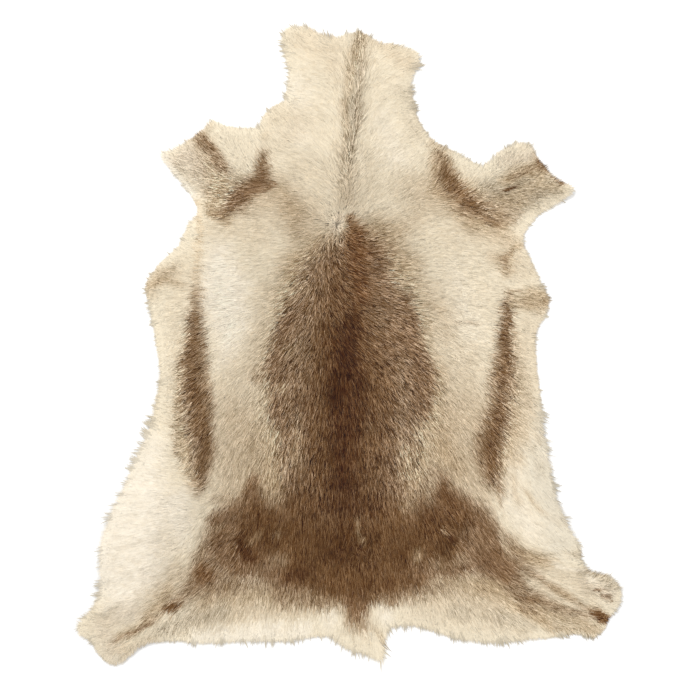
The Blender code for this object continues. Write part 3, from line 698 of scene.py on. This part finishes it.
def combed(lattice, shape):
    """The way the hair lies, as unit vectors on the lattice. Near the rim it turns outwards."""
    x, y = lattice.x, lattice.y
    flow_x, flow_y = np.zeros_like(x), np.zeros_like(x)
    for places in COMB.values():
        for across, along, heading in places:
            (place,) = from_spine([(across, along)])
            weight = ((x - place[0]) ** 2 + (y - place[1]) ** 2 + (1.2 * CM) ** 2) ** -2
            flow_x += weight * math.cos(math.radians(heading))
            flow_y += weight * math.sin(math.radians(heading))
    flow_x, flow_y = unit(flow_x, flow_y)
    splay = 1.1 * (1.0 - smooth_step(shape.read(shape.depth, x, y) / FRINGE_SPLAY))
    out_x, out_y = shape.read(shape.out_x, x, y), shape.read(shape.out_y, x, y)
    return unit(flow_x + splay * out_x, flow_y + splay * out_y)


def streaked(lattice, flow_x, flow_y, reach, seed):
    """Random streaks that run along the hair, reach to each side, with values about -1 to 1."""
    noise = np.random.default_rng(seed).uniform(-1.0, 1.0, lattice.x.shape)
    total = noise.copy()
    steps = round(reach / lattice.step)
    for step in range(1, steps + 1):
        weight = 1.0 - step / (steps + 1)
        for way in (-step, step):
            x = lattice.x + way * lattice.step * flow_x
            y = lattice.y + way * lattice.step * flow_y
            total += weight * lattice.read(noise, x, y)
    return np.clip(total / (2.2 * total.std()), -1.0, 1.0)


def palette_colour(name):
    """A colour of the palette, as sRGB from 0 to 1."""
    return np.array(PALETTE[name]) / 255.0


def coat_colour(x, y):
    """The coat's sRGB colour at each place, from the markings, with wavering edges and soft clouds."""
    warp = 0.45 * CM
    across = x + warp * soft_noise(x, y, 2.6 * CM, 11) + 0.5 * warp * soft_noise(x, y, 0.9 * CM, 12)
    along = y + warp * soft_noise(x, y, 2.6 * CM, 13) + 0.5 * warp * soft_noise(x, y, 0.9 * CM, 14)
    colour = np.empty((*x.shape, 3))
    colour[...] = palette_colour("cream")
    for rows in MARKINGS:
        for name, soft_edge, strength, points in rows:
            cover = strength * stroke_cover(across, along, points, soft_edge)
            colour += cover[..., None] * (palette_colour(name) - colour)
    darkness = 1.0 - colour.mean(axis=-1)
    cloud = soft_noise(x, y, 3.4 * CM, 15) + 0.7 * soft_noise(x, y, 1.3 * CM, 16)
    colour += (0.055 * cloud * darkness)[..., None] * np.array([1.0, 0.92, 0.8])
    return colour


def hair_length(x, y):
    """The length of the hair at each place, from the table."""
    length = np.full_like(x, float(BASE_LENGTH))
    for value, soft_edge, points in LENGTHS.values():
        length += stroke_cover(x, y, points, soft_edge) * (value - length)
    return length * MM


def softness_of(length):
    """0 for short crisp hair, 1 for long soft hair."""
    return smooth_step((length - 24 * MM) / (10 * MM))


def skin_inset(x, y):
    """How far in from the rim of the coat the skin ends."""
    return SKIN_INSET + SOFT_INSET * softness_of(hair_length(x, y))


def linear(colour):
    """sRGB values made linear."""
    colour = np.clip(colour, 0.0, 1.0)
    return np.where(colour <= 0.04045, colour / 12.92, ((colour + 0.055) / 1.055) ** 2.4)


def paint(mesh, colours):
    """Gives each point of a mesh its colour of the coat, in linear RGB."""
    rgba = np.ones((len(mesh.vertices), 4), np.float32)
    rgba[:, :3] = colours
    layer = mesh.color_attributes.new("coat", "FLOAT_COLOR", "POINT")
    layer.data.foreach_set("color", rgba.ravel())


class Coat:
    """Every hair of the hide, as arrays."""

    def __init__(self, shape):
        self.shape = shape
        low, high = shape.lattice.low, shape.lattice.high
        self.random = np.random.default_rng(7)
        self.combing = Lattice(low, high, COMB_STEP)
        self.flow_x, self.flow_y = combed(self.combing, shape)
        self.streaks = {}
        for seed, (name, (step, reach)) in enumerate(STREAKS.items()):
            lattice = Lattice(low, high, step)
            flow_x = self.combing.read(self.flow_x, lattice.x, lattice.y)
            flow_y = self.combing.read(self.flow_y, lattice.x, lattice.y)
            self.streaks[name] = lattice, streaked(lattice, flow_x, flow_y, reach, 21 + seed)
        self.plant(low, high)
        self.lay()
        self.tint()

    def plant(self, low, high):
        """Roots on a jittered lattice over the skin, ordered from the neck to the rump."""
        shape, random = self.shape, self.random
        skin_area = (shape.depth > SKIN_INSET).sum() * shape.lattice.step**2
        spacing = math.sqrt(skin_area / HAIR_COUNT)
        roots = Lattice(low, high, spacing)
        x = (roots.x + spacing * random.uniform(-0.5, 0.5, roots.x.shape)).ravel()
        y = (roots.y + spacing * random.uniform(-0.5, 0.5, roots.y.shape)).ravel()
        kept = shape.read(shape.depth, x, y) > skin_inset(x, y)
        order = np.argsort(-y[kept], kind="stable")
        self.x, self.y = x[kept][order], y[kept][order]
        self.count = len(self.x)

    def heading(self, x, y):
        flow_x = self.combing.read(self.flow_x, x, y)
        flow_y = self.combing.read(self.flow_y, x, y)
        return np.arctan2(flow_y, flow_x)

    def streak(self, name, x, y):
        lattice, values = self.streaks[name]
        return lattice.read(values, x, y)

    def bareness(self, x, y):
        """0 where the hair lies together, 1 where it parts fastest, in the whorl and along the spine."""
        step = self.combing.step
        parting = np.gradient(self.flow_x, step, axis=1) + np.gradient(self.flow_y, step, axis=0)
        return np.clip(self.combing.read(np.maximum(parting, 0.0), x, y) / FULL_PARTING, 0.0, 1.0)

    def lay(self):
        """Each hair rises from its root, bends over and lies along the coat to its tip."""
        x, y, random = self.x, self.y, self.random
        length = hair_length(x, y) * random.uniform(*VARIED, self.count)
        self.softness = softness = softness_of(length)
        self.bare = bare = self.bareness(x, y)
        self.ruffled = ruffled = sum(stroke_cover(x, y, [place], 5) for place in RUFFLED)
        length *= 1.0 - 0.6 * bare
        stray = random.normal(0.0, 1.0, self.count) * (0.12 + 0.4 * bare)
        # Angles by which neighbouring hairs turn together, as locks.
        lock = (0.05 + 0.13 * softness) * soft_noise(x, y, 1.2 * CM, 31)
        lock += 0.1 * soft_noise(x, y, 0.5 * CM, 32)
        lock += 0.55 * ruffled * soft_noise(x, y, 1.7 * CM, 35)
        first = self.heading(x, y) + lock + stray  # the heading up to the bend
        length *= self.trim(x, y, first, length)
        middle_x = x + BEND * length * np.cos(first)
        middle_y = y + BEND * length * np.sin(first)
        second = self.heading(middle_x, middle_y) + lock + stray  # from the bend to the tip
        tip_x = middle_x + (1 - BEND) * length * np.cos(second)
        tip_y = middle_y + (1 - BEND) * length * np.sin(second)
        gathered = self.gathered(tip_x, tip_y, second)
        tip_x -= gathered * np.sin(second)
        tip_y += gathered * np.cos(second)
        self.streak_middle = self.streak("hair", middle_x, middle_y)
        self.streak_tip = self.streak("hair", tip_x, tip_y)
        self.lock = self.streak("lock", middle_x, middle_y)
        self.wave = self.streak("wave", middle_x, middle_y) * (0.3 + softness)
        # How high in the pile each hair ends.
        rise = 0.86 + 0.04 * self.streak_tip + 0.05 * self.lock + 0.05 * self.wave
        rise += 0.12 * ruffled * soft_noise(x, y, 1.5 * CM, 34) + random.uniform(-0.03, 0.03, self.count)
        self.points = [
            self.raised(x, y, 0.0, 0.75 * bare * rise),
            self.raised(middle_x, middle_y, BEND, 0.87 * rise),
            self.raised(tip_x, tip_y, 1.0, rise),
        ]
        self.heading_tip = second
        self.width = HAIR_WIDTH * random.uniform(*VARIED, self.count) * (1.0 + 0.25 * softness)
        self.width *= np.where(self.guard, FRINGE_WIDTH, 1.0)
        self.roll = 0.12 * random.normal(0.0, 1.0, self.count) + 0.15 * self.streak_middle

    def raised(self, x, y, part, height):
        """Points this far along the hairs, at a share of the pile's height. The pile is lower at the rim."""
        shape = self.shape
        floor = shape.read(shape.lower, x, y)
        pile = shape.read(shape.upper, x, y) - floor
        settled = 0.4 + 0.6 * smooth_step((shape.read(shape.depth, x, y) + 4 * MM) / EDGE_WIDTH)
        z = floor + SKIN_THICKNESS * (1 - part) + pile * height * settled
        return np.stack([x, y, np.maximum(z, 0.8 * MM)], axis=1)

    def gathered(self, x, y, heading):
        """How far to the left the tips of the fringe go, to end together in the middle of their tuft."""
        across, along = 1.2 * MM * np.sin(heading), 1.2 * MM * np.cos(heading)
        slope = self.streak("tuft", x - across, y + along) - self.streak("tuft", x + across, y - along)
        return 1.7 * MM * np.clip(2.0 * slope, -1.0, 1.0) * self.guard

    def trim(self, x, y, heading, length):
        """Shares of their lengths that end the hairs in a dense ragged edge, but for tufts that pass it."""
        random, shape, softness = self.random, self.shape, self.softness
        self.rim_depth = depth = shape.read(shape.depth, x, y)
        tip_depth = shape.read(shape.depth, x + length * np.cos(heading), y + length * np.sin(heading))
        tuft = smooth_step((self.streak("tuft", x, y) - 0.2) / 0.5)
        self.guard = random.random(self.count) < np.maximum(TUFT_SHARE * tuft, STRAY_SHARE)
        self.guard &= depth < FRINGE_ROOTS
        dense = random.normal(*DENSE_EDGE, self.count) - SOFT_INSET * softness
        dense += 2 * MM * soft_noise(x, y, 5 * MM, 33)
        reach = FRINGE_REACH * (0.6 + 0.4 * softness) * random.uniform(0.1, 1.0, self.count)
        past = np.clip(np.where(self.guard, reach, dense), -DEEPEST_EDGE, FRINGE_REACH)
        share = (depth + past) / np.maximum(depth - tip_depth, 1 * MM)
        longest = np.where(depth < 16 * MM, 1.5, 1.0)  # hairs rooted near the rim stretch to reach it
        return np.clip(share, 0.12, longest)

    def tint(self):
        """The colours of each hair at its root, middle and tip."""
        _, middle, tip = self.points
        mix = self.random.uniform(0.0, 1.0, self.count)
        x, y = (middle[:, axis] + mix * (tip[:, axis] - middle[:, axis]) for axis in (0, 1))
        colour = coat_colour(x, y)
        rim = 1.0 - smooth_step(self.rim_depth / (1.8 * CM))  # painted shade: the hair near the rim a little darker, as if shadowed
        colour *= 1.0 - rim[:, None] * np.array([0.035, 0.028, 0.02])
        # Painted shade: the fringe's tufts a little darker, as if shadowed.
        colour *= 1.0 - 0.06 * self.guard[:, None]
        darkness = 1.0 - colour.mean(axis=1)
        speckled = smooth_step((darkness - 0.12) / 0.4)
        crisp = np.max([stroke_cover(self.x, self.y, points, 6) for points in CRISP.values()], axis=0)
        # How far single hairs differ in tone: most in the dark saddle, least in the long belly hair.
        contrast = 0.036 - 0.03 * self.softness + 0.28 * speckled + 0.06 * self.ruffled
        contrast += crisp * (0.035 + 0.18 * speckled)
        contrast *= (0.2 + 1.2 * (1.0 - darkness)) * np.where(self.guard, 0.5, 1.0)
        own = self.random.normal(0.0, 1.0, self.count)
        own -= 0.3 * (1.0 - speckled) * (own**2 - 1.0)  # a few dark strokes on light hair: painted shade of gaps between locks
        own = np.clip(own, -2.5, 1.5)
        # How far hair is darkened towards its root, where other hair shades it.
        shaded = (0.1 + 0.3 * smooth_step((darkness - 0.05) / 0.4)) * (1.0 - 0.8 * self.bare)
        self.colours = []
        for part, streak in ((0.0, self.streak_middle), (BEND, self.streak_middle), (1.0, self.streak_tip)):
            # Skewed towards a few dark lines: painted shade of gaps between locks.
            streak = streak - 0.35 * streak**2
            # Each hair's own tone and streaks, with painted light and shade of the locks and waves.
            tone_and_shade = contrast * (0.32 * streak + 0.04 * self.lock + 0.64 * own) + 0.014 * self.wave
            shaded_colour = colour * (1.0 - shaded * max(1.0 - 2.2 * part, 0.0))[:, None] + tone_and_shade[:, None]
            # Painted shade: the fringe's tufts darker still towards their tips.
            shaded_colour *= 1.0 - 0.13 * part * self.guard[:, None]
            self.colours.append(linear(np.clip(shaded_colour, 0.02, 0.98)))

    def band_mesh(self, name, start, end):
        """One band of the coat: each hair a blade of two faces, from its root over its bend to its tip."""
        count = end - start
        columns = math.ceil(math.sqrt(2.0 * count))
        row = np.arange(count) // columns
        chosen = start + np.lexsort((self.x[start:end], row))
        root, middle, tip = (points[chosen] for points in self.points)
        heading, roll = self.heading_tip[chosen], self.roll[chosen]
        level = np.cos(roll)
        side = np.stack([-np.sin(heading) * level, np.cos(heading) * level, np.sin(roll)], axis=1)
        side *= 0.5 * self.width[chosen, None]
        corners = np.stack([root, middle - side, middle + side, tip], axis=1)
        corners[:, :, 2] = np.maximum(corners[:, :, 2], 0.4 * MM)
        faces = np.array([0, 1, 2, 2, 1, 3])
        mesh = bpy.data.meshes.new(name)
        mesh.vertices.add(4 * count)
        mesh.vertices.foreach_set("co", corners.astype(np.float32).ravel())
        loops = (4 * np.arange(count)[:, None] + faces).astype(np.int32)
        mesh.loops.add(loops.size)
        mesh.loops.foreach_set("vertex_index", loops.ravel())
        mesh.polygons.add(2 * count)
        mesh.polygons.foreach_set("loop_start", np.arange(0, loops.size, 3, dtype=np.int32))
        mesh.update(calc_edges=True)
        mesh.shade_smooth()
        at_root, at_middle, at_tip = (colours[chosen] for colours in self.colours)
        paint(mesh, np.stack([at_root, at_middle, at_middle, at_tip], axis=1).reshape(-1, 3))
        self.add_map(mesh, count, columns, faces)
        return mesh

    def add_map(self, mesh, count, columns, faces):
        """A map that gives each hair a cell of its own, laid out as the roots are. Tips meet tips."""
        rows = math.ceil(count / columns)
        column, row = np.arange(count) % columns, np.arange(count) // columns
        along = np.array([0.04, BEND, BEND, 0.96])
        along = np.where(row[:, None] % 2 == 1, 1.0 - along, along)
        u = (column[:, None] + np.array([0.5, 0.92, 0.08, 0.5])) / columns
        v = (row[:, None] + along) / rows
        places = np.stack([u[:, faces], v[:, faces]], axis=2)
        layer = mesh.uv_layers.new(name="OFBake")
        layer.uv.foreach_set("vector", places.astype(np.float32).ravel())


def skin_border(shape):
    """The skin's cut edge, in order: the rim, resampled and moved in by the inset."""
    count = len(shape.rim)
    steps = np.linspace(0, count, 4 * count, endpoint=False)
    x, y = (np.interp(steps, np.arange(count + 1), np.append(axis, axis[0])) for axis in shape.rim.T)
    for _ in range(12):
        off = shape.read(shape.depth, x, y) - skin_inset(x, y)
        x += 0.6 * off * shape.read(shape.out_x, x, y)
        y += 0.6 * off * shape.read(shape.out_y, x, y)
    kept = np.hypot(np.diff(x, append=x[0]), np.diff(y, append=y[0])) > 1.5 * MM
    return x, y, [Vector(place) for place in zip(x[kept], y[kept])]


def skin_mesh(shape):
    """The skin: a thin closed sheet on the solid's lower face, whose cut edge lies inside the rim."""
    x, y, border = skin_border(shape)
    grid = Lattice((x.min(), y.min()), (x.max(), y.max()), SKIN_STEP)
    inner = []
    for number, row in enumerate(np.arange(y.min(), y.max(), SKIN_STEP * math.sqrt(0.75))):
        places = grid.x[0] + 0.5 * SKIN_STEP * (number % 2)
        level = np.full_like(places, row)
        deep = shape.read(shape.depth, places, level) > skin_inset(places, level) + 0.5 * SKIN_STEP
        inner += [Vector((place, row)) for place in places[deep]]
    outline = [list(range(len(border)))]
    flat, _, triangles, *_ = delaunay_2d_cdt(border + inner, [], outline, 1, 1e-6)
    flat = np.array(flat)
    count = len(flat)
    lower = shape.read(shape.lower, flat[:, 0], flat[:, 1])
    lower = np.where(lower < 0.3 * MM, 0.0, lower)
    vertices = [np.column_stack([flat, height]) for height in (lower, lower + SKIN_THICKNESS)]
    faces = [tuple(reversed(triangle)) for triangle in triangles]
    faces += [tuple(index + count for index in triangle) for triangle in triangles]
    edges = {(face[turn - 1], face[turn]) for face in triangles for turn in range(3)}
    faces += [(a, b, b + count, a + count) for a, b in sorted(edges) if (b, a) not in edges]
    mesh = bpy.data.meshes.new("skin")
    mesh.from_pydata(np.concatenate(vertices).tolist(), [], faces)
    mesh.validate()
    mesh.shade_smooth()
    underside = np.tile(linear(palette_colour("suede")), (count, 1))
    # The skin's top is the coat's colour darkened, as painted shade between the hairs.
    paint(mesh, np.concatenate([underside, linear(SKIN_SHADE * coat_colour(flat[:, 0], flat[:, 1]))]))
    return mesh


class Finish:
    """A material in the making, whose textures are placed on the object."""

    def __init__(self, name):
        self.material = bpy.data.materials.new(name)
        self.material.use_nodes = True
        self.tree = self.material.node_tree
        self.shader = self.tree.nodes["Principled BSDF"]
        self.place = self.node("ShaderNodeTexCoord")

    def node(self, kind, **values):
        """A new shader node with these input values."""
        made = self.tree.nodes.new(kind)
        for name, value in values.items():
            made.inputs[name.replace("_", " ")].default_value = value
        return made

    def texture(self, kind, **values):
        """A texture placed on the object."""
        made = self.node(kind, **values)
        self.tree.links.new(self.place.outputs["Object"], made.inputs["Vector"])
        return made

    def noise(self, **values):
        return self.texture("ShaderNodeTexNoise", **values).outputs["Fac"]

    def feed(self, low, high, source, target):
        """Feeds the target with values from low to high as the source goes from 0 to 1."""
        made = self.node("ShaderNodeMapRange", To_Min=low, To_Max=high)
        self.tree.links.new(source, made.inputs["Value"])
        self.tree.links.new(made.outputs["Result"], target)

    def tone(self, low, high, source):
        """The mesh's own colours, made darker and lighter by the source."""
        coat = self.node("ShaderNodeAttribute")
        coat.attribute_name = "coat"
        varied = self.node("ShaderNodeHueSaturation")
        self.tree.links.new(coat.outputs["Color"], varied.inputs["Color"])
        self.feed(low, high, source, varied.inputs["Value"])
        self.tree.links.new(varied.outputs["Color"], self.shader.inputs["Base Color"])

    def roughness(self, low, high, source):
        self.feed(low, high, source, self.shader.inputs["Roughness"])

    def bump(self, strength, distance, height):
        """Bumps on top of those that the shader already has."""
        made = self.node("ShaderNodeBump", Strength=strength, Distance=distance)
        self.tree.links.new(height, made.inputs["Height"])
        normal = self.shader.inputs["Normal"]
        for link in normal.links:
            self.tree.links.new(link.from_socket, made.inputs["Normal"])
        self.tree.links.new(made.outputs["Normal"], normal)


def hair_material():
    """Hair, coloured along its length, with fine changes of tone and of shine."""
    finish = Finish("reindeer_hair")
    cloudy = finish.noise(Scale=140.0, Detail=3.0)
    fine = finish.noise(Scale=1400.0, Detail=2.0)
    finish.tone(0.9, 1.1, cloudy)
    finish.roughness(0.5, 0.8, cloudy)
    finish.bump(0.15, 0.2 * MM, fine)
    finish.shader.inputs["Specular IOR Level"].default_value = 0.15
    return finish.material


def skin_material():
    """Tanned suede under the hair: mottled, with fine nap and shallow wrinkles."""
    finish = Finish("reindeer_skin")
    mottle = finish.noise(Scale=18.0, Detail=5.0, Roughness=0.6)
    nap = finish.noise(Scale=900.0, Detail=2.0)
    wrinkles = finish.texture("ShaderNodeTexVoronoi", Scale=60.0)
    wrinkles.feature = "DISTANCE_TO_EDGE"
    finish.tone(0.78, 1.14, mottle)
    finish.roughness(0.75, 0.95, nap)
    finish.bump(0.35, 0.4 * MM, nap)
    finish.bump(0.4, 1.2 * MM, wrinkles.outputs["Distance"])
    finish.shader.inputs["Specular IOR Level"].default_value = 0.2
    return finish.material


def floor_material():
    """Pale, nearly plain, with a faint grain."""
    finish = Finish("floor")
    grain = finish.noise(Scale=240.0, Detail=4.0)
    tone = finish.node("ShaderNodeValToRGB")
    tone.color_ramp.elements[0].color = (0.94, 0.94, 0.935, 1.0)
    tone.color_ramp.elements[1].color = (0.97, 0.97, 0.965, 1.0)
    finish.tree.links.new(grain, tone.inputs["Fac"])
    finish.tree.links.new(tone.outputs["Color"], finish.shader.inputs["Base Color"])
    finish.roughness(0.82, 0.95, grain)
    finish.bump(0.08, 0.3 * MM, grain)
    return finish.material


def add_object(name, data):
    """A new object in the scene."""
    made = bpy.data.objects.new(name, data)
    bpy.context.scene.collection.objects.link(made)
    return made


def add_piece(name, mesh, material):
    """A piece of the visual model, which takes the place of the CAD solid."""
    piece = add_object(name, mesh)
    mesh.materials.append(material)
    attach(piece, "root")
    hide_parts("hide")
    return piece


def add_floor():
    """A wide floor, a hair's breadth under the hide."""
    mesh = bpy.data.meshes.new("floor")
    half = 20.0
    corners = [(-half, -half, 0), (half, -half, 0), (half, half, 0), (-half, half, 0)]
    mesh.from_pydata(corners, [], [(0, 1, 2, 3)])
    mesh.materials.append(floor_material())
    floor = add_object("floor", mesh)
    floor.location.z = -0.2 * MM


def add_light(name, place, size, power):
    """A square soft light that faces the middle of the hide."""
    data = bpy.data.lights.new(name, "AREA")
    data.size = size
    data.energy = power
    light = add_object(name, data)
    light.location = place
    light.rotation_euler = (-Vector(place)).to_track_quat("-Z", "Y").to_euler()


def add_studio():
    """Soft light from all round, a little stronger from the upper left."""
    world = bpy.data.worlds.new("studio")
    world.use_nodes = True
    background = world.node_tree.nodes["Background"]
    background.inputs["Color"].default_value = (1.0, 1.0, 1.0, 1.0)
    background.inputs["Strength"].default_value = 0.5
    bpy.context.scene.world = world
    add_light("key", (-1.2, 1.4, 3.4), 2.2, 113.0)
    add_light("fill", (1.8, -1.0, 3.0), 2.5, 39.0)
    bpy.context.scene.view_settings.view_transform = "Standard"
    bpy.context.scene.cycles.denoising_prefilter = "NONE"  # keeps single hairs crisp


def add_camera():
    """Straight down on the hide, with its neck at the top."""
    data = bpy.data.cameras.new("camera")
    seen = 1.2528  # metres across the picture, on the floor
    height = 3.2
    data.angle = 2 * math.atan(0.5 * seen / height)
    camera = add_object("camera", data)
    camera.location = (SPINE_ACROSS, -0.27 * CM, height)
    bpy.context.scene.camera = camera


def main():
    for old in list(bpy.data.objects):
        bpy.data.objects.remove(old)
    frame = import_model()
    cad_low, cad_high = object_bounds()
    add_camera()
    add_studio()
    add_floor()
    shape = Shape(frame["nodes"]["hide"], cad_low, cad_high)
    skin = add_piece("skin", skin_mesh(shape), skin_material())
    coat = Coat(shape)
    hair = hair_material()
    for number, name in enumerate(COAT_BANDS):
        start = number * coat.count // len(COAT_BANDS)
        end = (number + 1) * coat.count // len(COAT_BANDS)
        mesh = coat.band_mesh(f"coat_{name}", start, end)
        add_piece(f"coat_{name}", mesh, hair)


main()
